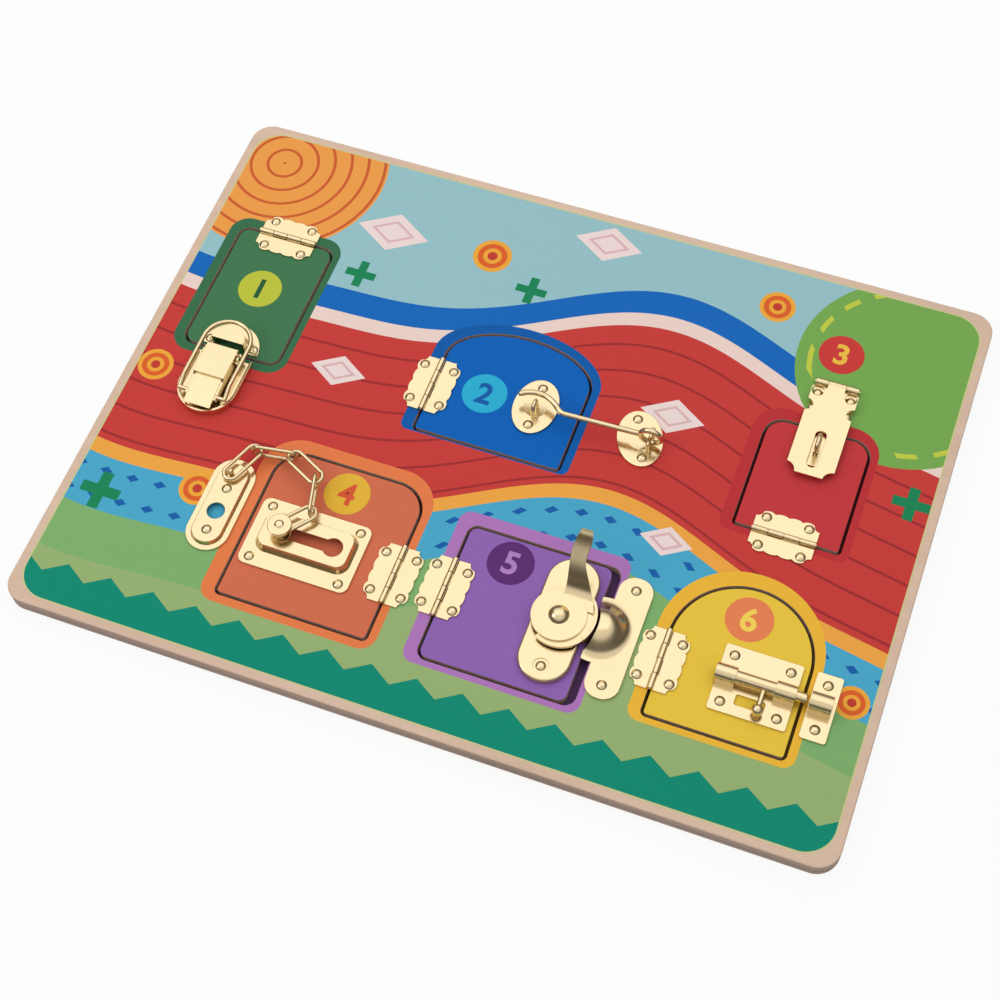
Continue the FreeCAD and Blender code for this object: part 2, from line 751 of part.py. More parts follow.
def chain_track():
    """The track plate: a raised channel with a slot that ends in a keyhole."""
    body = raised_shell(track_outline, track_inner, TRACK_SHEET, TRACK_RAISE)
    slot = rounded(SLOT_LEFT - SLOT_HALF, SLOT_RIGHT, SLOT_Y - SLOT_HALF, SLOT_Y + SLOT_HALF, 3.1, 3.1)
    tool = slab(slot, TOP + 1.6, 9)
    tool = tool.fuse(Part.makeCylinder(KEYHOLE_R, 9, V(SLOT_RIGHT, SLOT_Y, TOP + 1.6)))
    return drilled(body.cut(tool), track_screws()).removeSplitter()


def chain_button():
    """The mushroom button that slides in the slot; its foot is under the channel sheet."""
    x, y = SLOT_LEFT, SLOT_Y
    roof = TOP + TRACK_SHEET + TRACK_RAISE
    foot = Part.makeCylinder(BUTTON_FOOT, 1.6, V(x, y, roof - TRACK_SHEET - 2.1))
    neck = Part.makeCylinder(BUTTON_NECK, 7.6, V(x, y, roof - TRACK_SHEET - 1.0))
    collar = Part.makeCylinder(3.6, 0.9, V(x, y, roof + 0.35))
    high = roof + 5.4
    head = Part.makeCylinder(BUTTON_R, BUTTON_THICK, V(x, y, high))
    rims = [e for e in head.Edges if e.Closed and e.BoundBox.ZMin > high + BUTTON_THICK / 2]
    head = head.makeFillet(BUTTON_THICK / 3, rims)
    boss = Part.makeCone(0.4 * BUTTON_R, 0.25 * BUTTON_R, 0.6, V(x, y, high + BUTTON_THICK))
    return foot.fuse(neck).fuse(collar).fuse(head).fuse(boss).removeSplitter()


def link(start, stop, roll):
    """A wire link spanning the two points, rolled about its own length."""
    r = LINK_WIRE / 2
    bow = LINK_HALF
    straight = LINK_LONG / 2 - bow
    body = None
    for side in (-1, 1):
        bar = Part.makeCylinder(r, 2 * straight, V(-straight, side * bow, 0), V(1, 0, 0))
        ring = Part.makeTorus(bow, r, V(0, 0, 0), V(0, 0, 1))
        cut = Part.makeBox(20, 20, 8, V(0 if side > 0 else -20, -10, -4))
        end = ring.common(cut)
        end.translate(V(side * straight, 0, 0))
        both = bar.fuse(end)
        body = both if body is None else body.fuse(both)
    body = body.removeSplitter()
    body.rotate(V(0, 0, 0), V(1, 0, 0), roll)
    way = stop - start
    body.rotate(V(0, 0, 0), V(0, 1, 0), -math.degrees(math.asin(way.z / way.Length)))
    body.rotate(V(0, 0, 0), V(0, 0, 1), math.degrees(math.atan2(way.y, way.x)))
    body.translate((start + stop) * 0.5)
    return body


def chain_links():
    """The five links from the anchor to the button."""
    places = [V(x, y, TOP + up) for x, y, up in CHAIN]
    button = V(SLOT_LEFT, SLOT_Y, TOP + 8.4)
    reach = LINK_LONG - 2 * LINK_HALF
    links = []
    for k in range(4):
        a, b = places[k], places[k + 1]
        if k == 0:
            b = a + (b - a).normalize() * reach
        links.append(link(a, b, LINK_ROLL[k]))
    way = (places[4] - button).normalize()
    links.append(link(button, button + way * reach, LINK_ROLL[4]))
    return links


def sash_outline(grow):
    """The outer stadium of the sash lock base."""
    x, y = SASH
    half = SASH_HALF + grow
    reach = SASH_LONG / 2 + grow
    return rounded(x - half, x + half, y - reach, y + reach, half - 0.01, half - 0.01)


def sash_screws():
    """The two screws of the sash lock base."""
    x, y = SASH
    return [(x, y - SASH_SCREW), (x, y + SASH_SCREW)]


def sash_base():
    """The drawn shell under the rotor."""
    body = slab(sash_outline(0), TOP, SASH_RAISE)
    level = TOP + SASH_RAISE
    edges = [e for e in body.Edges if abs(e.BoundBox.ZMin - level) < 1e-6 and e.BoundBox.ZLength < 1e-6]
    body = body.makeFillet(1.4, edges)
    body = body.cut(slab(sash_outline(-1.1), TOP - 1, SASH_RAISE))
    boss = Part.makeCylinder(5.0, ROTOR_LOW - SASH_RAISE + 0.5, V(*SASH, TOP + SASH_RAISE - 0.8))
    body = body.fuse(boss)
    body = body.cut(Part.makeCylinder(2.0 + PIN_FIT, 20, V(*SASH, TOP + 1.0)))
    for x, y in sash_screws():
        body = body.cut(Part.makeCylinder(HEAD_R + 1.2, 6, V(x, y, TOP + SASH_RAISE - 0.5)))
    return drilled(body, sash_screws()).removeSplitter()


def polar(radius, angle):
    """A point round the sash lock pivot."""
    a = math.radians(angle)
    return V(SASH[0] + radius * math.cos(a), SASH[1] + radius * math.sin(a), 0)


def sash_rotor():
    """Disc with a lower spiral cam, an upper disc and the rising thumb handle."""
    low = TOP + ROTOR_LOW
    disc = Part.makeCylinder(ROTOR_R, ROTOR_SHEET, V(*SASH, low + 1.6))
    hub = Part.makeCylinder(6.5, 1.8, V(*SASH, low + 0.1))
    steps = [50 - 24 * k for k in range(8)]
    rim = [polar(CAM_R - (CAM_R - CAM_TIP) * k / 7, a) for k, a in enumerate(steps)]
    curve = Part.BSplineCurve()
    curve.interpolate(rim)
    edges = [
        curve.toShape(),
        Part.LineSegment(rim[-1], polar(3.0, steps[-1])).toShape(),
        Part.LineSegment(polar(3.0, steps[-1]), polar(3.0, 50)).toShape(),
        Part.LineSegment(polar(3.0, 50), rim[0]).toShape(),
    ]
    cam = slab(Part.Wire(edges), low + 0.1, 1.6)
    body = disc.fuse(hub).fuse(cam).fuse(thumb_handle()).fuse(rotor_wall())
    return body.cut(Part.makeCylinder(2.0 + PIN_FIT, 20, V(*SASH, TOP))).removeSplitter()


def handle_sheet():
    """The S-curved strip from the disc up to the tip, as wide as the rotor."""
    x, y = SASH
    low = TOP + ROTOR_LOW + 1.6
    foot = V(x, y + HANDLE_BEND - 4.0, low)
    bend = V(x, y + HANDLE_BEND, low)
    hollow = V(x, y + HANDLE_BEND + 9.0, low + 7.0)
    belly = V(x, y + HANDLE_TIP - 6.0, low + HANDLE_UP - 8.0)
    tip = V(x, y + HANDLE_TIP, low + HANDLE_UP)
    curve = Part.BSplineCurve()
    curve.interpolate([bend, hollow, belly, tip], InitialTangent=V(0, 1, 0.05), FinalTangent=V(0, 0.35, 1))
    under = Part.Wire([Part.LineSegment(foot, bend).toShape(), curve.toShape()])
    lift = V(0, -0.6 * HANDLE_SHEET, HANDLE_SHEET)
    over = under.copy()
    over.translate(lift)
    ends = [Part.LineSegment(tip, tip + lift).toShape(), Part.LineSegment(foot + lift, foot).toShape()]
    face = Part.Face(Part.Wire(under.Edges + ends[:1] + over.Edges[::-1] + ends[1:]))
    strip = face.extrude(V(2 * CAM_R, 0, 0))
    strip.translate(V(-CAM_R, 0, 0))
    return strip


def thumb_handle():
    """The strip cut to its outline, broad at the disc and narrowing to a leaf."""
    x, y = SASH
    foot = HANDLE_BEND - 4.0
    end = HANDLE_TIP + 1.5
    left = [(-2.0, foot), (-1.2, HANDLE_BEND + 2.0), (-2.0, 20.0), (-2.6, 27.0), (1.8, end)]
    right = [(3.2, end), (5.4, 29.0), (4.8, 24.0), (7.8, 18.0), (13.2, HANDLE_BEND), (14.6, foot)]
    sides = []
    for row in (left, right):
        curve = Part.BSplineCurve()
        curve.interpolate([V(x + across, y + along, 0) for across, along in row])
        sides.append(curve.toShape())
    tip = Part.LineSegment(V(x + left[-1][0], y + end, 0), V(x + right[0][0], y + end, 0)).toShape()
    base = Part.LineSegment(V(x + right[-1][0], y + foot, 0), V(x + left[0][0], y + foot, 0)).toShape()
    outline = Part.Face(Part.Wire([sides[0], tip, sides[1], base]))
    return handle_sheet().common(outline.extrude(V(0, 0, 60)))


def rotor_wall():
    """The upright rim that the handle grows out of, beside the hood."""
    low = TOP + ROTOR_LOW + 0.1
    ring = Part.makeCylinder(WALL_R, WALL_H, V(*SASH, low))
    ring = ring.cut(Part.makeCylinder(WALL_R - HANDLE_SHEET, WALL_H, V(*SASH, low)))
    corners = [polar(0, 0), polar(60, WALL_FROM), polar(60, WALL_TO), polar(0, 0)]
    return ring.common(slab(Part.makePolygon(corners), low - 1, WALL_H + 2))


def sash_rivet():
    """The rivet through rotor and base."""
    low = TOP + ROTOR_LOW + 3.1
    ball = (RIVET_R ** 2 + 2.6 ** 2) / 5.2
    dome = Part.makeSphere(ball, V(*SASH, low + 2.6 - ball))
    head = dome.common(Part.makeCylinder(RIVET_R, 6, V(*SASH, low)))
    return head.fuse(Part.makeCylinder(2.0, low - TOP - 1.2, V(*SASH, TOP + 1.2))).removeSplitter()


def sash_keeper_screws():
    """The two screws of the sash keeper."""
    left, right, bottom, top = SASH_KEEPER
    return [((left + right) / 2, bottom + 6.6), ((left + right) / 2, top - 6.6)]


def hood_profile(inset):
    """Half the section of the flared hood, on the hood's own upright axis."""
    x, y = HOOD_CENTRE
    top = TOP + HOOD_TOP - inset
    foot = TOP + SASH_PLATE - inset
    reach = HOOD_R - inset
    crown = V(x, y, top)
    brim = V(x + reach, y, foot)
    flare = Part.BSplineCurve()
    shoulder = V(x + HOOD_FLAT - 0.5 * inset, y, top - 1.3)
    waist = V(x + 0.68 * reach, y, foot + 2.4)
    flare.interpolate([crown, shoulder, waist, brim], InitialTangent=V(1, 0, 0), FinalTangent=V(1, 0, -0.1))
    low = TOP + 0.2 - inset
    sides = Part.makePolygon([brim, V(x + reach, y, low), V(x, y, low), crown])
    return Part.Wire([flare.toShape()] + sides.Edges)


def hood_bell(inset):
    """The whole flared bell of the hood, smaller by the inset."""
    return Part.Face(hood_profile(inset)).revolve(V(*HOOD_CENTRE, 0), V(0, 0, 1), 360)


def sash_keeper():
    """Plate with a hollow flared hood, open towards the rotor."""
    left, right, bottom, top = SASH_KEEPER
    plate = slab(rounded(left, right, bottom, top, SASH_CORNER, SASH_CORNER), TOP, SASH_PLATE)
    x, y = HOOD_CENTRE
    room = Part.makeCylinder(CAM_R + ROTOR_ROOM, 30, V(*SASH, TOP - 1))
    inside = hood_bell(HOOD_SHEET)
    body = plate.fuse(hood_bell(0)).cut(inside).cut(room)
    body = body.common(Part.makeBox(60, 90, 30, V(x - 4.0, y - 45, TOP)))
    return drilled(body, sash_keeper_screws()).removeSplitter()


def bolt_screws():
    """The four screws of the bolt base."""
    left, right, bottom, top = BOLT_BASE
    return [(x, y) for x in (left + 5.0, right - 5.0) for y in (bottom + 4.8, top - 4.8)]


def strap(left, right, radius, up):
    """A sheet strap over the bolt, from the plate up and round."""
    length = right - left
    outer = Part.makeCylinder(radius + STRAP_SHEET, length, V(left, BOLT_Y, TOP + up), V(1, 0, 0))
    corner = V(left, BOLT_Y - radius - STRAP_SHEET, TOP)
    outer = outer.fuse(Part.makeBox(length, 2 * (radius + STRAP_SHEET), up, corner))
    return outer.common(Part.makeBox(length, 30, 30, V(left, BOLT_Y - 15, TOP + 0.2)))


def strap_bore(left, right, radius, up):
    """The room under a strap."""
    length = right - left
    bore = Part.makeCylinder(radius, length, V(left, BOLT_Y, TOP + up), V(1, 0, 0))
    corner = V(left, BOLT_Y - radius, TOP + BOLT_SHEET)
    return bore.fuse(Part.makeBox(length, 2 * radius, up - BOLT_SHEET, corner))


def bolt_base():
    """Plate with two straps and a cut-out under the knob."""
    left, right, bottom, top = BOLT_BASE
    body = slab(rounded(left, right, bottom, top, 1.2, 1.2), TOP, BOLT_SHEET)
    for a, b in STRAPS:
        body = body.fuse(strap(a, b, BOLT_R + BOLT_FIT, BOLT_UP))
    body = body.cut(strap_bore(left - 2, right + 2, BOLT_R + BOLT_FIT, BOLT_UP))
    hole = slab(rounded(137.0, 150.6, -90.4, -85.2, 1.0, 1.0), TOP - 1, 5)
    body = body.cut(hole)
    return drilled(body, bolt_screws()).removeSplitter()


def bolt_rod():
    """The bolt with its thinner tip."""
    left = BOLT_BASE[0] + 1.6
    step = BOLT_STEP
    z = TOP + BOLT_UP
    body = Part.makeCylinder(BOLT_R, step - left, V(left, BOLT_Y, z), V(1, 0, 0))
    nose = Part.makeCylinder(BOLT_TIP_R, BOLT_TIP_END - step, V(step, BOLT_Y, z), V(1, 0, 0))
    rim = [e for e in nose.Edges if abs(e.BoundBox.XMin - BOLT_TIP_END) < 1e-6]
    body = body.fuse(nose.makeFillet(1.0, rim))
    socket = Part.makeCylinder(KNOB_WIRE + PIN_FIT, 10, V(KNOB_X, BOLT_Y - 1.4, z), V(0, -1, 0))
    return body.cut(socket).removeSplitter()


def bolt_knob():
    """The knob pin set into the side of the bolt, ending in a ball."""
    z = TOP + BOLT_UP
    stem = Part.makeCylinder(KNOB_WIRE, KNOB_OUT - 1.5, V(KNOB_X, BOLT_Y - 1.5, z), V(0, -1, 0))
    ball = Part.makeSphere(KNOB_BALL, V(KNOB_X, BOLT_Y - KNOB_OUT, z))
    return stem.fuse(ball).removeSplitter()


def keeper_screws():
    """The two screws of the bolt keeper."""
    left, right, bottom, top = KEEPER
    return [((left + right) / 2, bottom + 5.4), ((left + right) / 2, top - 5.4)]


def bolt_keeper():
    """The keeper plate with one strap."""
    left, right, bottom, top = KEEPER
    body = slab(rounded(left, right, bottom, top, 1.2, 1.2), TOP, BOLT_SHEET)
    body = body.fuse(strap(left + 0.4, right - 1.6, BOLT_R + KEEPER_FIT, BOLT_UP))
    body = body.cut(strap_bore(left - 2, right + 2, BOLT_R + KEEPER_FIT, BOLT_UP))
    return drilled(body, keeper_screws()).removeSplitter()


def seats(places, height):
    """Screw places paired with the height that the head rests on."""
    return [(x, y, TOP + height) for x, y in places]


def panel_screw_list():
    """Every screw that goes into the front ply of the panel."""
    found = []
    for n in HINGES:
        found += seats(hinge_screws(n, -1), LEAF_SHEET)
    found += seats(latch_base_screws(), LATCH_SHEET)
    found += seats(eye_screws(EYE_PANEL), EYE_SHEET)
    found += seats(hasp_screws_panel(), 1.0)
    found += seats(anchor_screws(), ANCHOR_SHEET + ANCHOR_RAISE)
    found += seats(sash_keeper_screws(), 1.2)
    found += seats(keeper_screws(), BOLT_SHEET)
    return found


def door_screw_list(number):
    """Every screw that goes into one door."""
    found = seats(hinge_screws(number, 1), LEAF_SHEET)
    own = {
        1: (latch_strike_screws, 1.0),
        4: (track_screws, TRACK_SHEET),
        5: (sash_screws, SASH_RAISE - 0.5),
        6: (bolt_screws, BOLT_SHEET),
    }
    if number in own:
        places, height = own[number]
        found += seats(places(), height)
    if number == 2:
        found += seats(eye_screws(EYE_DOOR), EYE_SHEET)
    return found


def board_outline():
    """The outline of the panel."""
    return rounded(-LENGTH / 2, LENGTH / 2, -HEIGHT / 2, HEIGHT / 2, CORNER, CORNER)


def rounded_slab(low, thick, level):
    """A ply with the outer edge rounded at one level."""
    body = slab(board_outline(), low, thick)
    edges = [e for e in body.Edges if abs(e.BoundBox.ZMin - level) < 1e-6 and e.BoundBox.ZLength < 1e-6]
    return body.makeFillet(EDGE_ROUND, edges)


def front_panel():
    """The front ply with six openings and the screw holes."""
    body = rounded_slab(BACK_PLY, FRONT_PLY, TOP)
    for n in OPENINGS:
        body = body.cut(slab(door_outline(n, 0), BACK_PLY - 1, FRONT_PLY + 2))
    return drilled(body, [(x, y) for x, y, _ in panel_screw_list()])


def door(number):
    """One door with its screw holes."""
    body = slab(door_outline(number, GAP), BACK_PLY + DOOR_LIFT, FRONT_PLY - DOOR_LIFT)
    return drilled(body, [(x, y) for x, y, _ in door_screw_list(number)])


def group(shapes):
    """Several separate solids in one file."""
    return Part.makeCompound(shapes)


def hinge_pins():
    """The six hinge pins."""
    pins = []
    for n in HINGES:
        place, turn = hinge_axis(n)
        pin = Part.makeCylinder(PIN_R, LEAF_LENGTH + 0.8, V(0, -LEAF_LENGTH / 2 - 0.4, 0), V(0, 1, 0))
        pins.append(turned(pin, turn, place))
    return group(pins)


def write(name, shape):
    """One STEP file for one node."""
    shape.exportStep("parts/" + name + ".step")


def write_wood_and_hinges():
    """The plies, the doors, the hinges and the screws."""
    write("front_panel", front_panel())
    write("back_panel", rounded_slab(0, BACK_PLY, 0))
    write("hinge_pins", hinge_pins())
    write("panel_screws", group([screw(*s) for s in panel_screw_list()]))
    for n in HINGES:
        place, turn = hinge_axis(n)
        write("door_%d" % n, door(n))
        write("hinge_%d_door_leaf" % n, turned(leaf(0), turn, place))
        write("hinge_%d_panel_leaf" % n, turned(leaf(0), turn + 180, place))
        write("door_%d_screws" % n, group([screw(*s) for s in door_screw_list(n)]))


def write_latches():
    """The six latches."""
    write("latch_base", latch_base())
    write("latch_pin", latch_pin())
    write("latch_lever", latch_lever())
    write("latch_bail", latch_bail())
    write("latch_strike", latch_strike())
    write("hook_door_plate", eye_plate(EYE_DOOR, door_eye_legs()))
    write("hook_panel_plate", eye_plate(EYE_PANEL, panel_eye_legs()))
    write("hook_door_eye", hook_staple_door())
    write("hook_panel_eye", hook_staple_panel())
    write("hook_rod", hook())
    write("hasp_leaf", hasp_leaf())
    write("hasp_strap", hasp_strap())
    write("hasp_pin", hasp_pin())
    write("hasp_staple_plate", hasp_plate())
    write("hasp_staple", hasp_staple())
    write("chain_anchor", chain_anchor())
    write("chain_track", chain_track())
    write("chain_button", chain_button())
    for k, shape in enumerate(chain_links()):
        write("chain_link_%d" % (k + 1), shape)
    write("sash_base", sash_base())
    write("sash_rotor", sash_rotor())
    write("sash_rivet", sash_rivet())
    write("sash_keeper", sash_keeper())
    write("bolt_base", bolt_base())
    write("bolt_rod", bolt_rod())
    write("bolt_knob", bolt_knob())
    write("bolt_keeper", bolt_keeper())


os.makedirs("parts", exist_ok=True)
write_wood_and_hinges()
write_latches()
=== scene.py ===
"""Looks of the wooden lock board: printed ply, brass fittings, number discs, floor and light."""
import json
import math

import bmesh
import bpy
from mathutils import Matrix, Vector

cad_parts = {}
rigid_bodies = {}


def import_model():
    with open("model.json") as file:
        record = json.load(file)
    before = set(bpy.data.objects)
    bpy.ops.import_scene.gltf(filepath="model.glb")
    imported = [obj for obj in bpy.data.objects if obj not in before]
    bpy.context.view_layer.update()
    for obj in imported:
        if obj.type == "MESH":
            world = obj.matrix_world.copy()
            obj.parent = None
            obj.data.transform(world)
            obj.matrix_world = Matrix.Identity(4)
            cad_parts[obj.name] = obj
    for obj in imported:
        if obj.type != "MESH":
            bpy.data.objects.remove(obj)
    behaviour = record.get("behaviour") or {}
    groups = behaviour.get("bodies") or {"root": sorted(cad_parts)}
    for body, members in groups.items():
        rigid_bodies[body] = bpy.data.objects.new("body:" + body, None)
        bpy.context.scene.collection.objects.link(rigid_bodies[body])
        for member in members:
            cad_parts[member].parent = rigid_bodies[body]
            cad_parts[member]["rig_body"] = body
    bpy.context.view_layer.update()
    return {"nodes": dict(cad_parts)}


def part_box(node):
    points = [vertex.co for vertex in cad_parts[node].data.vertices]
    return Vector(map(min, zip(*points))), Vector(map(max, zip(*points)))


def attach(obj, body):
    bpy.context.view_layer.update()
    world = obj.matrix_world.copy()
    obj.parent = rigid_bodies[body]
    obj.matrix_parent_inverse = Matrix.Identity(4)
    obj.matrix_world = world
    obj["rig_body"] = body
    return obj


bl_info = {
    "name": "Lock Board Looks",
    "version": (1, 0, 0),
    "blender": (4, 5, 0),
    "location": "View3D > Sidebar > Lock Board",
    "description": "Prints, materials, discs and stage of a wooden lock board",
    "category": "Object",
}

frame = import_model()
NODES = frame["nodes"]
MM = 0.001
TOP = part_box("front_panel")[1].z
SUNK = 0.0001
DISC_PROUD = 0.00006
DIGIT_THICK = 0.00022
WHEEL = (-176.0, 128.0, 56.0)
RIM = (166.0, 104.0, 54.0)
LENS = 65.67
CAMERA_PLACE = (0.178605, -0.409841, 0.762012)


# Colours and node helpers

def tint(red, green, blue):
    """A linear colour from sRGB numbers up to 255."""
    out = []
    for v in (red, green, blue):
        c = v / 255
        out.append(c / 12.92 if c <= 0.04045 else ((c + 0.055) / 1.055) ** 2.4)
    return (*out, 1.0)


class Sum:
    """A shader value that plain arithmetic turns into math nodes."""

    def __init__(self, tree, socket):
        self.tree = tree
        self.socket = socket

    def make(self, operation, *others):
        """A math node on this value and others."""
        node = self.tree.nodes.new("ShaderNodeMath")
        node.operation = operation
        for k, value in enumerate((self, *others)):
            if isinstance(value, Sum):
                self.tree.links.new(value.socket, node.inputs[k])
            else:
                node.inputs[k].default_value = value
        return Sum(self.tree, node.outputs[0])

    def __add__(self, other):
        return self.make("ADD", other)

    def __sub__(self, other):
        return self.make("SUBTRACT", other)

    def __mul__(self, other):
        return self.make("MULTIPLY", other)

    def less(self, other):
        """One where this is below the other."""
        return self.make("LESS_THAN", other)

    def more(self, other):
        """One where this is above the other."""
        return self.make("GREATER_THAN", other)

    def least(self, other):
        """The smaller value."""
        return self.make("MINIMUM", other)

    def most(self, other):
        """The larger value."""
        return self.make("MAXIMUM", other)

    def size(self):
        """The absolute value."""
        return self.make("ABSOLUTE")

    def sine(self):
        """The sine."""
        return self.make("SINE")

    def root(self):
        """The square root."""
        return self.make("SQRT")

    def repeat(self, step):
        """The distance to the middle of a repeated cell."""
        return self.make("WRAP", step / 2, -step / 2)


class Paint:
    """A stack of flat colours laid over one another on Object coordinates in millimetres."""

    def __init__(self, tree, base):
        self.tree = tree
        self.place = tree.nodes.new("ShaderNodeTexCoord").outputs["Object"]
        split = tree.nodes.new("ShaderNodeSeparateXYZ")
        tree.links.new(self.place, split.inputs[0])
        self.x = Sum(tree, split.outputs[0]) * 1000.0
        self.y = Sum(tree, split.outputs[1]) * 1000.0
        self.z = Sum(tree, split.outputs[2]) * 1000.0
        node = tree.nodes.new("ShaderNodeRGB")
        node.outputs[0].default_value = base
        self.colour = node.outputs[0]

    def lay(self, mask, colour):
        """Lays a colour where the mask is one."""
        mix = self.tree.nodes.new("ShaderNodeMix")
        mix.data_type = "RGBA"
        self.tree.links.new(mask.socket, mix.inputs["Factor"])
        self.tree.links.new(self.colour, mix.inputs[6])
        if isinstance(colour, bpy.types.NodeSocket):
            self.tree.links.new(colour, mix.inputs[7])
        else:
            mix.inputs[7].default_value = colour
        self.colour = mix.outputs[2]

    def away(self, x, y):
        """The distance from a point."""
        dx = self.x - x
        dy = self.y - y
        return (dx * dx + dy * dy).root()

    def disc(self, x, y, radius):
        """A round mask."""
        return self.away(x, y).less(radius)

    def box(self, left, right, bottom, top, corner):
        """Signed distance to a rounded box."""
        dx = (self.x - (left + right) / 2).size() - ((right - left) / 2 - corner)
        dy = (self.y - (bottom + top) / 2).size() - ((top - bottom) / 2 - corner)
        ox = dx.most(0.0)
        oy = dy.most(0.0)
        return (ox * ox + oy * oy).root() + dx.most(dy).least(0.0) - corner

    def door_shape(self, left, right, bottom, top, upper, lower):
        """A mask of a door-like shape with its own corner size above and below."""
        middle = (bottom + top) / 2
        high = self.box(left, right, bottom, top, upper).less(0.0) * self.y.more(middle)
        low = self.box(left, right, bottom, top, lower).less(0.0) * self.y.less(middle + 0.001)
        return high.most(low)

    def arch_shape(self, left, right, bottom, top, rise, lower):
        """A mask with a half-ellipse top."""
        spring = top - rise
        u = (self.x - (left + right) / 2) * (2 / (right - left))
        v = (self.y - spring) * (1 / rise)
        crown = (u * u + v * v).less(1.0) * self.y.more(spring)
        foot = self.box(left, right, bottom, spring + 20.0, lower).less(0.0) * self.y.less(spring + 0.001)
        return crown.most(foot)


def material(name):
    """A fresh node material with its shader."""
    made = bpy.data.materials.new(name)
    made.use_nodes = True
    shader = made.node_tree.nodes["Principled BSDF"]
    shader.inputs["Specular IOR Level"].default_value = 0.12
    return made, made.node_tree, shader


def noise(tree, place, scale, detail, stretch=(1, 1, 1)):
    """A noise texture on stretched coordinates."""
    mapping = tree.nodes.new("ShaderNodeMapping")
    mapping.inputs["Scale"].default_value = stretch
    tree.links.new(place, mapping.inputs["Vector"])
    node = tree.nodes.new("ShaderNodeTexNoise")
    node.inputs["Scale"].default_value = scale
    node.inputs["Detail"].default_value = detail
    tree.links.new(mapping.outputs[0], node.inputs["Vector"])
    return Sum(tree, node.outputs["Fac"])


def bump(tree, height, strength, distance, target):
    """A bump node into a shader's normal."""
    node = tree.nodes.new("ShaderNodeBump")
    node.inputs["Strength"].default_value = strength
    node.inputs["Distance"].default_value = distance
    tree.links.new(height.socket, node.inputs["Height"])
    tree.links.new(node.outputs[0], target)


def shaded(tree, colour, amount, value):
    """The colour made lighter and darker by a value about one half."""
    node = tree.nodes.new("ShaderNodeHueSaturation")
    tree.links.new((value * (2 * amount) + (1 - amount)).socket, node.inputs["Value"])
    tree.links.new(colour, node.inputs["Color"])
    return node.outputs[0]


def wood_colour(tree, place, light, dark):
    """Fine straight birch grain between two colours, with long faint figure."""
    fine = noise(tree, place, 60.0, 6.0, (1.0, 30.0, 8.0))
    broad = noise(tree, place, 9.0, 3.0, (1.0, 12.0, 2.0))
    mix = tree.nodes.new("ShaderNodeMix")
    mix.data_type = "RGBA"
    mix.inputs[6].default_value = dark
    mix.inputs[7].default_value = light
    tree.links.new((fine * 0.5 + broad * 0.9 - 0.2).socket, mix.inputs["Factor"])
    return mix.outputs[2], fine


def edge_wood(tree, paint):
    """The side of the ply with its veneers as thin bands."""
    light, fine = wood_colour(tree, paint.place, tint(198, 176, 164), tint(168, 146, 134))
    layer = (paint.z * 3.6).sine().more(0.55)
    paint.colour = light
    paint.lay(layer * 0.35, tint(140, 112, 96))
    paint.lay((paint.z - 4.0).size().less(0.22), tint(96, 70, 58))
    return fine


# The sizes and colours that can be changed

class LockBoardPrint(bpy.types.PropertyGroup):
    """Printed colours of the panel"""
    sky: bpy.props.FloatVectorProperty(
        name="Sky", description="Upper ground colour", subtype="COLOR", size=4,
        min=0, max=1, default=tint(151, 196, 204))
    meadow: bpy.props.FloatVectorProperty(
        name="Meadow", description="Lower ground colour", subtype="COLOR", size=4,
        min=0, max=1, default=tint(152, 180, 118))
    swell: bpy.props.FloatVectorProperty(
        name="Swell", description="Broad middle wave", subtype="COLOR", size=4,
        min=0, max=1, default=tint(202, 62, 58))
    margin: bpy.props.FloatProperty(
        name="Margin", description="Bare wood round the print", unit="LENGTH",
        min=0.0, default=0.0042)
    grain: bpy.props.FloatProperty(
        name="Grain", description="Strength of the print speckle", subtype="FACTOR",
        min=0, max=1, default=0.08)


class LockBoardBrass(bpy.types.PropertyGroup):
    """Finish of the fittings"""
    colour: bpy.props.FloatVectorProperty(
        name="Colour", description="Plating colour", subtype="COLOR", size=4,
        min=0, max=1, default=(0.77, 0.625, 0.38, 1.0))
    roughness: bpy.props.FloatProperty(
        name="Roughness", description="Blur of the reflections", subtype="FACTOR",
        min=0, max=1, default=0.2)


class LockBoardDiscs(bpy.types.PropertyGroup):
    """Number discs"""
    radius: bpy.props.FloatProperty(
        name="Radius", description="Radius of a number disc", unit="LENGTH",
        min=0.001, default=0.0112)
    digit: bpy.props.FloatProperty(
        name="Digit", description="Height of a digit", unit="LENGTH",
        min=0.001, default=0.0122)


DOOR_COLOURS = {
    1: (66, 122, 82), 2: (0, 98, 188), 3: (198, 58, 62),
    4: (212, 112, 80), 5: (144, 102, 182), 6: (236, 200, 66),
}
FRAME_COLOURS = {1: (56, 112, 78), 3: (190, 50, 56), 4: (232, 126, 74), 5: (176, 120, 190), 6: (240, 186, 58)}
FRAMES = {
    1: (-185.6, -123.9, 2.9, 88.9, 10.0, 10.0),
    3: (103.8, 165.7, -6.4, 65.9, 14.5, 4.0),
    4: (-112.7, -24.7, -120.2, -26.2, 19.0, 8.0),
    5: (-11.4, 73.4, -118.4, -36.6, 6.0, 6.0),
    6: (93.4, 170.2, -111.6, -24.4, 38.0, 6.0),
}
# Back ply fields behind the doors: each door's printed hue, made dark with painted shade for the shadowed recess
# floor
RECESS_PRINT_AND_SHADE = {1: (40, 62, 44), 2: (14, 40, 78), 3: (92, 26, 30), 4: (96, 48, 34), 5: (84, 54, 100), 6: (120, 92, 30)}
DISCS = {
    1: (-155.2, 48.9, "door_1", (190, 198, 62), (36, 92, 58)),
    2: (-24.6, 26.8, "door_2", (40, 176, 216), (10, 92, 170)),
    3: (133.5, 104.5, "front_panel", (204, 58, 56), (240, 190, 70)),
    4: (-66.7, -47.3, "door_4", (230, 182, 56), (218, 88, 50)),
    5: (19.7, -56.5, "door_5", (92, 44, 114), (178, 130, 198)),
    6: (132.0, -47.9, "door_6", (234, 132, 84), (248, 214, 90)),
}


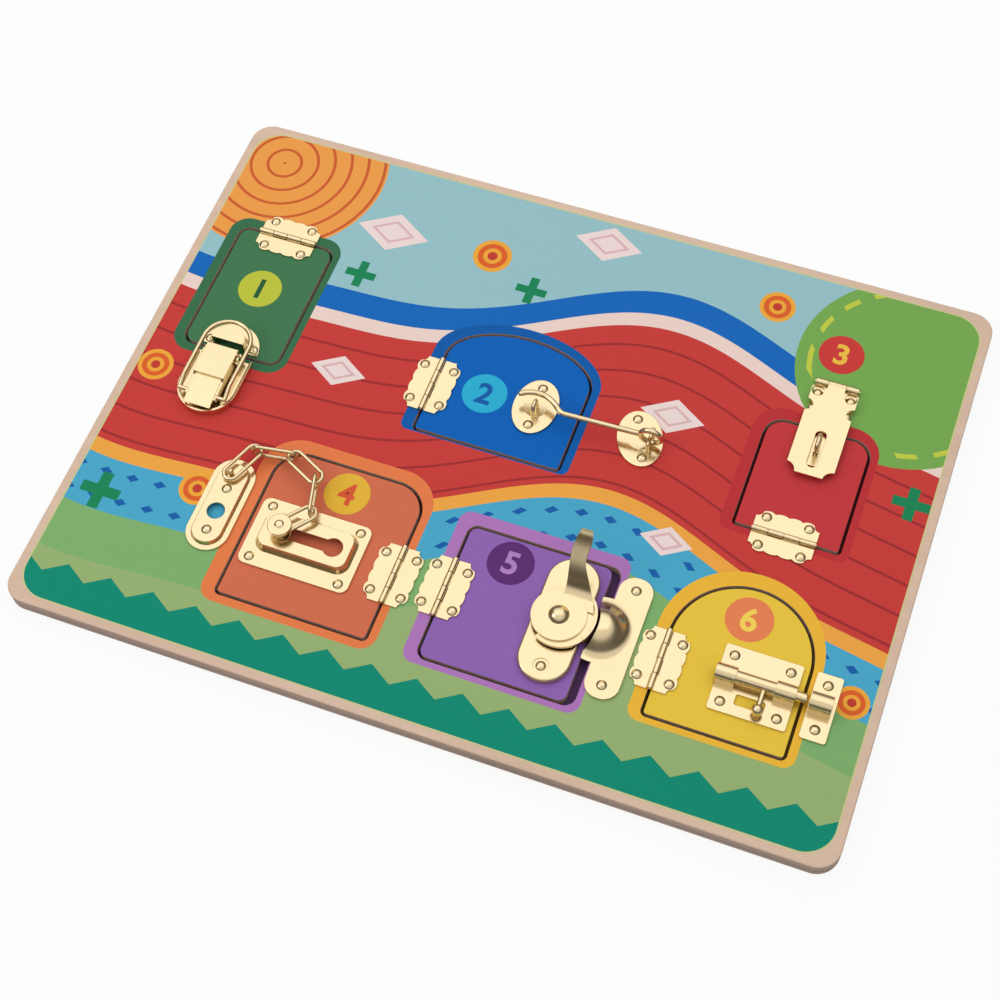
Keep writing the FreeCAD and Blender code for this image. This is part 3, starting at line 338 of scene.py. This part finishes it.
# The print on the panel

WAVES = (
    (-44.0, -36.0, (240, 168, 70)),
    (-72.0, -44.0, (74, 170, 206)),
    (60.0, 68.0, (238, 214, 206)),
    (68.0, 82.0, (16, 104, 190)),
)
LOZENGES = (
    (-104.0, 104.0, 12.0), (4.0, 132.0, 11.0), (66.0, 44.0, 10.0),
    (84.0, -22.0, 8.0), (-98.0, 16.0, 9.0),
)
RINGS = (
    (-186.0, -10.0, 9.0), (-50.0, 106.0, 10.0), (96.0, 122.0, 9.0),
    (186.0, -72.0, 8.0), (-136.0, -68.0, 9.0),
)
CROSSES = ((-180.0, -84.0, 10.0), (-24.0, 92.0, 8.0), (186.0, 34.0, 9.0), (-110.0, 74.0, 8.0))


def lay_waves(paint, choice):
    """Broad waves across the board, pinstriped in the middle, over a green ground with a zigzag hem."""
    swell = (paint.x * 0.0155 + 0.6).sine() * 26.0 + (paint.x * 0.036).sine() * 6.0
    height = paint.y - swell
    paint.lay(height.less(-72.0), tint(128, 178, 112))
    paint.lay(height.less(-98.0), tuple(choice.meadow))
    middle = height.more(-36.0) * height.less(60.0)
    paint.lay(middle, tuple(choice.swell))
    paint.lay(height.repeat(16.0).size().less(0.7) * middle, tint(160, 46, 50))
    for low, high, colour in WAVES:
        paint.lay(height.more(low) * height.less(high), tint(*colour))
    beads = paint.x.repeat(14.0).size() + (height + 51.0).repeat(14.0).size() * 1.6
    paint.lay(beads.less(3.4) * height.more(-72.0) * height.less(-44.0), tint(22, 96, 172))
    hem = paint.x.repeat(22.0).size() * -0.62 - 125.0
    paint.lay(paint.y.less(hem), tint(6, 140, 116))


def lay_wheels(paint):
    """Two large round figures in the upper corners: one of rings, one with a dashed rim."""
    x, y, reach = WHEEL
    far = paint.away(x, y)
    paint.lay(far.less(reach), tint(240, 160, 76))
    paint.lay(far.repeat(9.0).size().less(0.8) * far.less(reach), tint(206, 96, 50))
    x, y, reach = RIM
    far = paint.away(x, y)
    paint.lay(far.less(reach), tint(120, 172, 84))
    dash = (paint.x + paint.y * 0.9).make("MULTIPLY", 0.28).sine().more(-0.1)
    paint.lay((far - (reach - 7.0)).size().less(1.3) * dash, tint(196, 206, 72))


def lay_small_shapes(paint):
    """Scattered lozenges, ringed dots and crosses in bright colours."""
    for x, y, r in LOZENGES:
        far = (paint.x - x).size() * 0.62 + (paint.y - y).size()
        paint.lay(far.less(r), tint(240, 220, 218))
        paint.lay((far - r * 0.55).size().less(0.8), tint(222, 184, 186))
    for x, y, r in RINGS:
        paint.lay(paint.disc(x, y, r), tint(240, 170, 60))
        paint.lay((paint.away(x, y) - r * 0.62).size().less(r * 0.14), tint(222, 98, 44))
        paint.lay(paint.disc(x, y, r * 0.26), tint(196, 62, 50))
    for x, y, r in CROSSES:
        dx = (paint.x - x).size()
        dy = (paint.y - y).size()
        paint.lay(dx.less(r * 0.28).most(dy.less(r * 0.28)) * dx.most(dy).less(r), tint(24, 134, 88))


def lay_frames(paint):
    """The coloured frames printed round the openings."""
    for number, shape in FRAMES.items():
        paint.lay(paint.door_shape(*shape), tint(*FRAME_COLOURS[number]))
    paint.lay(paint.arch_shape(-57.5, 28.6, -4.4, 69.3, 24.4, 4.0), tint(6, 92, 172))


def panel_material(choice):
    """Printed birch ply: the print on top, bare wood at the margin and on every side."""
    made, tree, shader = material("printed_panel")
    paint = Paint(tree, tuple(choice.sky))
    lay_waves(paint, choice)
    lay_wheels(paint)
    lay_small_shapes(paint)
    lay_frames(paint)
    speck = noise(tree, paint.place, 900.0, 3.0)
    fibre = noise(tree, paint.place, 40.0, 5.0, (1.0, 26.0, 1.0))
    printed = shaded(tree, paint.colour, choice.grain, speck * 0.6 + fibre * 0.4)
    half_x, half_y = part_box("front_panel")[1].x / MM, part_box("front_panel")[1].y / MM
    inset = choice.margin / MM
    wood = Paint(tree, tint(222, 194, 172))
    fine = edge_wood(tree, wood)
    bare, _ = wood_colour(tree, paint.place, tint(230, 203, 182), tint(206, 176, 154))
    top = wood.z.more(TOP / MM - 0.35)
    wood.lay(top, bare)
    area = paint.box(-half_x + inset, half_x - inset, -half_y + inset, half_y - inset, 15.0)
    wood.lay(area.less(0.0) * wood.z.more(TOP / MM - 0.02), tint(206, 204, 146))
    wood.lay(area.less(-0.7) * wood.z.more(TOP / MM - 0.02), printed)
    tree.links.new(wood.colour, shader.inputs["Base Color"])
    tree.links.new((fibre * 0.14 + 0.55).socket, shader.inputs["Roughness"])
    bump(tree, fibre * 0.5 + fine * 0.5, 0.16, 0.0002, shader.inputs["Normal"])
    return made


def door_material(number):
    """A door: printed top, bare wood sides and back."""
    made, tree, shader = material("printed_door_%d" % number)
    wood = Paint(tree, tint(150, 122, 110))
    fine = edge_wood(tree, wood)
    top = wood.z.more(TOP / MM - 0.02)
    flat = tree.nodes.new("ShaderNodeRGB")
    flat.outputs[0].default_value = tint(*DOOR_COLOURS[number])
    speck = noise(tree, wood.place, 900.0, 3.0)
    fibre = noise(tree, wood.place, 40.0, 5.0, (1.0, 26.0, 1.0))
    wood.lay(top, shaded(tree, flat.outputs[0], 0.08, speck * 0.5 + fibre * 0.5))
    bare, _ = wood_colour(tree, wood.place, tint(230, 203, 182), tint(206, 176, 154))
    wood.lay(wood.z.less(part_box("door_%d" % number)[0].z / MM + 0.05), bare)
    tree.links.new(wood.colour, shader.inputs["Base Color"])
    tree.links.new((fibre * 0.14 + 0.55).socket, shader.inputs["Roughness"])
    bump(tree, fibre * 0.5 + fine * 0.5, 0.16, 0.0002, shader.inputs["Normal"])
    return made


def back_material():
    """The back ply: bare wood outside, and fields behind the doors printed in each door's hue, darkened with
    painted shade as the recess floors look in shadow.
    """
    made, tree, shader = material("back_ply")
    wood = Paint(tree, tint(200, 176, 160))
    fine = edge_wood(tree, wood)
    bare, _ = wood_colour(tree, wood.place, tint(222, 194, 172), tint(198, 168, 146))
    wood.lay(wood.z.less(0.05), bare)
    top = wood.z.more(3.9)
    for number, colour in RECESS_PRINT_AND_SHADE.items():
        low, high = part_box("door_%d" % number)
        low, high = low / MM, high / MM
        field = wood.box(low.x - 6, high.x + 6, low.y - 4, high.y + 4, 2.0).less(0.0)
        # Painted shade: each field is the door's hue darkened as the recess floor looks in shadow
        wood.lay(top * field, tint(*colour))
    tree.links.new(wood.colour, shader.inputs["Base Color"])
    shader.inputs["Roughness"].default_value = 0.6
    bump(tree, fine, 0.14, 0.0002, shader.inputs["Normal"])
    return made


def brass_material(choice):
    """Bright pale brass plating with faint rolling marks and softened edges."""
    made, tree, shader = material("brass_plate")
    place = tree.nodes.new("ShaderNodeTexCoord").outputs["Object"]
    cloud = noise(tree, place, 60.0, 3.0)
    brushed = noise(tree, place, 300.0, 4.0, (1.0, 14.0, 1.0))
    base = tree.nodes.new("ShaderNodeRGB")
    base.outputs[0].default_value = tuple(choice.colour)
    tree.links.new(shaded(tree, base.outputs[0], 0.05, cloud), shader.inputs["Base Color"])
    shader.inputs["Metallic"].default_value = 1.0
    shader.inputs["Specular IOR Level"].default_value = 0.5
    blur = cloud * 0.08 + brushed * 0.06 + (choice.roughness - 0.07)
    tree.links.new(blur.socket, shader.inputs["Roughness"])
    edge = tree.nodes.new("ShaderNodeBevel")
    edge.samples = 4
    edge.inputs["Radius"].default_value = 0.00028
    node = tree.nodes.new("ShaderNodeBump")
    node.inputs["Strength"].default_value = 0.05
    node.inputs["Distance"].default_value = 0.0001
    tree.links.new(cloud.socket, node.inputs["Height"])
    tree.links.new(edge.outputs[0], node.inputs["Normal"])
    tree.links.new(node.outputs[0], shader.inputs["Normal"])
    return made


def flat_print(name, colour):
    """Opaque ink with a little speckle."""
    made, tree, shader = material(name)
    place = tree.nodes.new("ShaderNodeTexCoord").outputs["Object"]
    base = tree.nodes.new("ShaderNodeRGB")
    base.outputs[0].default_value = tint(*colour)
    speck = noise(tree, place, 900.0, 3.0)
    tree.links.new(shaded(tree, base.outputs[0], 0.05, speck), shader.inputs["Base Color"])
    tree.links.new((noise(tree, place, 60.0, 4.0) * 0.14 + 0.42).socket, shader.inputs["Roughness"])
    return made


def set_material(obj, made):
    """Gives an object one material."""
    obj.data.materials.clear()
    obj.data.materials.append(made)


# The operators

class LOCKBOARD_OT_panel(bpy.types.Operator):
    """Print the panel and finish its plies"""
    bl_idname = "lockboard.panel"
    bl_label = "Panel Print"

    def execute(self, context):
        choice = context.scene.lock_board_print
        set_material(NODES["front_panel"], panel_material(choice))
        set_material(NODES["back_panel"], back_material())
        return {"FINISHED"}


class LOCKBOARD_OT_doors(bpy.types.Operator):
    """Print the six doors"""
    bl_idname = "lockboard.doors"
    bl_label = "Doors"

    def execute(self, context):
        for number in DOOR_COLOURS:
            set_material(NODES["door_%d" % number], door_material(number))
        return {"FINISHED"}


def is_wood(name):
    """True for the plies and the doors."""
    return name.endswith("_panel") or (name.startswith("door_") and not name.endswith("screws"))


class LOCKBOARD_OT_fittings(bpy.types.Operator):
    """Plate every metal piece"""
    bl_idname = "lockboard.fittings"
    bl_label = "Fittings"

    def execute(self, context):
        plate = brass_material(context.scene.lock_board_brass)
        for name, obj in NODES.items():
            if not is_wood(name):
                set_material(obj, plate)
        return {"FINISHED"}


def film(name, mesh, body, made):
    """A finished print piece that rides on a body."""
    obj = bpy.data.objects.new(name, mesh)
    bpy.context.scene.collection.objects.link(obj)
    set_material(obj, made)
    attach(obj, body)
    return obj


def disc_mesh(name, x, y, radius, low, high):
    """A thin round print."""
    shape = bmesh.new()
    bmesh.ops.create_cone(shape, cap_ends=True, segments=72, radius1=radius, radius2=radius, depth=high - low)
    bmesh.ops.translate(shape, verts=shape.verts, vec=(x, y, (low + high) / 2))
    mesh = bpy.data.meshes.new(name)
    shape.to_mesh(mesh)
    shape.free()
    return mesh


def digit_mesh(name, text, x, y, height, low, thick):
    """A bold digit as a thin solid."""
    curve = bpy.data.curves.new(name, "FONT")
    curve.body = text
    curve.align_x = "CENTER"
    curve.align_y = "CENTER"
    curve.size = height * 1.32
    curve.offset = height * 0.035
    curve.extrude = thick / 2
    curve.resolution_u = 8
    holder = bpy.data.objects.new(name, curve)
    bpy.context.scene.collection.objects.link(holder)
    mesh = bpy.data.meshes.new_from_object(holder.evaluated_get(bpy.context.evaluated_depsgraph_get()))
    bpy.data.objects.remove(holder)
    xs = [v.co.x for v in mesh.vertices]
    ys = [v.co.y for v in mesh.vertices]
    middle = Vector(((min(xs) + max(xs)) / 2, (min(ys) + max(ys)) / 2, 0))
    mesh.transform(Matrix.Translation(Vector((x, y, low + thick / 2)) - middle))
    return mesh


class LOCKBOARD_OT_discs(bpy.types.Operator):
    """Lay the number discs on the doors and the panel"""
    bl_idname = "lockboard.discs"
    bl_label = "Number Discs"

    def execute(self, context):
        choice = context.scene.lock_board_discs
        for number, (x, y, node, under, over) in DISCS.items():
            body = NODES[node]["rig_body"]
            x, y = x * MM, y * MM
            ink = flat_print("disc_%d" % number, under)
            mesh = disc_mesh("disc_%d" % number, x, y, choice.radius, TOP - SUNK, TOP + DISC_PROUD)
            film("disc_%d" % number, mesh, body, ink)
            figure = flat_print("digit_%d" % number, over)
            mesh = digit_mesh("digit_%d" % number, str(number), x, y, choice.digit, TOP - SUNK, DIGIT_THICK)
            film("digit_%d" % number, mesh, body, figure)
        return {"FINISHED"}


def area_light(name, place, aim, size, power):
    """A soft square light."""
    data = bpy.data.lights.new(name, "AREA")
    data.size = size
    data.energy = power
    obj = bpy.data.objects.new(name, data)
    bpy.context.scene.collection.objects.link(obj)
    obj.location = place
    obj.rotation_mode = "QUATERNION"
    obj.rotation_quaternion = (Vector(aim) - Vector(place)).to_track_quat("-Z", "Y")
    return obj


def world_light():
    """White to the camera; a studio room of light and dark bands to everything else."""
    world = bpy.data.worlds.new("studio")
    bpy.context.scene.world = world
    world.use_nodes = True
    tree = world.node_tree
    tree.nodes.clear()
    out = tree.nodes.new("ShaderNodeOutputWorld")
    place = tree.nodes.new("ShaderNodeTexCoord").outputs["Generated"]
    split = tree.nodes.new("ShaderNodeSeparateXYZ")
    tree.links.new(place, split.inputs[0])
    ramp = tree.nodes.new("ShaderNodeValToRGB")
    tree.links.new(split.outputs[2], ramp.inputs[0])
    marks = ramp.color_ramp.elements
    marks[0].position = 0.0
    marks[0].color = (0.10, 0.075, 0.05, 1)
    marks[1].position = 1.0
    marks[1].color = (0.8, 0.79, 0.77, 1)
    for position, level in ((0.3, 0.10), (0.48, 0.22), (0.58, 0.62), (0.8, 0.78)):
        mark = marks.new(position)
        mark.color = (level, level * 0.985, level * 0.96, 1)
    soft = tree.nodes.new("ShaderNodeBackground")
    soft.inputs["Strength"].default_value = 1.16
    tree.links.new(ramp.outputs[0], soft.inputs["Color"])
    plain = tree.nodes.new("ShaderNodeBackground")
    plain.inputs["Color"].default_value = (1, 1, 1, 1)
    plain.inputs["Strength"].default_value = 1.0
    mix = tree.nodes.new("ShaderNodeMixShader")
    path = tree.nodes.new("ShaderNodeLightPath")
    tree.links.new(path.outputs["Is Camera Ray"], mix.inputs[0])
    tree.links.new(soft.outputs[0], mix.inputs[1])
    tree.links.new(plain.outputs[0], mix.inputs[2])
    tree.links.new(mix.outputs[0], out.inputs[0])


def floor_piece():
    """A plain pale floor that stays white to the camera but for a soft contact shade."""
    shape = bmesh.new()
    bmesh.ops.create_grid(shape, x_segments=1, y_segments=1, size=3.0)
    bmesh.ops.translate(shape, verts=shape.verts, vec=(0, 0, -0.0002))
    mesh = bpy.data.meshes.new("floor")
    shape.to_mesh(mesh)
    shape.free()
    obj = bpy.data.objects.new("floor", mesh)
    bpy.context.scene.collection.objects.link(obj)
    made, tree, shader = material("floor")
    shader.inputs["Base Color"].default_value = (0.9, 0.9, 0.9, 1)
    shader.inputs["Roughness"].default_value = 1.0
    glow = tree.nodes.new("ShaderNodeEmission")
    glow.inputs["Strength"].default_value = 1.0
    path = tree.nodes.new("ShaderNodeLightPath")
    mix = tree.nodes.new("ShaderNodeMixShader")
    amount = Sum(tree, path.outputs["Is Camera Ray"]) * 0.9
    tree.links.new(amount.socket, mix.inputs[0])
    tree.links.new(shader.outputs[0], mix.inputs[1])
    tree.links.new(glow.outputs[0], mix.inputs[2])
    tree.links.new(mix.outputs[0], tree.nodes["Material Output"].inputs[0])
    set_material(obj, made)


def photo_camera():
    """The camera found from the board's corners in the photograph."""
    data = bpy.data.cameras.new("camera")
    data.sensor_width = 36.0
    data.lens = LENS
    data.clip_start = 0.01
    data.clip_end = 20.0
    obj = bpy.data.objects.new("camera", data)
    bpy.context.scene.collection.objects.link(obj)
    right = Vector((0.93669618, 0.34771955, -0.04112633))
    down = Vector((0.28516937, -0.82575294, -0.48663180))
    ahead = Vector((-0.20317158, 0.44409818, -0.87263839))
    turn = Matrix((right, -down, -ahead)).transposed()
    obj.rotation_mode = "QUATERNION"
    obj.rotation_quaternion = turn.to_quaternion()
    obj.location = CAMERA_PLACE
    bpy.context.scene.camera = obj


class LOCKBOARD_OT_stage(bpy.types.Operator):
    """Set the floor, lights, room and camera"""
    bl_idname = "lockboard.stage"
    bl_label = "Stage"

    def execute(self, context):
        world_light()
        floor_piece()
        key = area_light("key", (-0.3, 0.75, 1.25), (0, 0, 0), 2.4, 9.0)
        fill = area_light("fill", (-0.9, -0.5, 0.9), (0, 0, 0), 0.5, 2.0)
        photo_camera()
        context.scene.view_settings.view_transform = "Standard"
        return {"FINISHED"}


class LOCKBOARD_PT_sidebar(bpy.types.Panel):
    """The board's sizes, colours and steps"""
    bl_idname = "LOCKBOARD_PT_sidebar"
    bl_label = "Lock Board"
    bl_space_type = "VIEW_3D"
    bl_region_type = "UI"
    bl_category = "Lock Board"

    def draw(self, context):
        for group in ("lock_board_print", "lock_board_brass", "lock_board_discs"):
            data = getattr(context.scene, group)
            for name in data.bl_rna.properties.keys():
                if name not in {"rna_type", "name"}:
                    self.layout.prop(data, name)
        for step in STEPS:
            self.layout.operator(step.bl_idname)


GROUPS = {
    "lock_board_print": LockBoardPrint,
    "lock_board_brass": LockBoardBrass,
    "lock_board_discs": LockBoardDiscs,
}
STEPS = (LOCKBOARD_OT_panel, LOCKBOARD_OT_doors, LOCKBOARD_OT_fittings, LOCKBOARD_OT_discs, LOCKBOARD_OT_stage)


def register():
    """Adds the classes and their scene settings."""
    for made in (*GROUPS.values(), *STEPS, LOCKBOARD_PT_sidebar):
        bpy.utils.register_class(made)
    for name, group in GROUPS.items():
        setattr(bpy.types.Scene, name, bpy.props.PointerProperty(type=group))


def unregister():
    """Takes them away again."""
    for name in GROUPS:
        delattr(bpy.types.Scene, name)
    for made in reversed((*GROUPS.values(), *STEPS, LOCKBOARD_PT_sidebar)):
        bpy.utils.unregister_class(made)


def main():
    """Builds everything in order."""
    register()
    bpy.ops.lockboard.panel()
    bpy.ops.lockboard.doors()
    bpy.ops.lockboard.fittings()
    bpy.ops.lockboard.discs()
    bpy.ops.lockboard.stage()


if __name__ == "__main__":
    main()
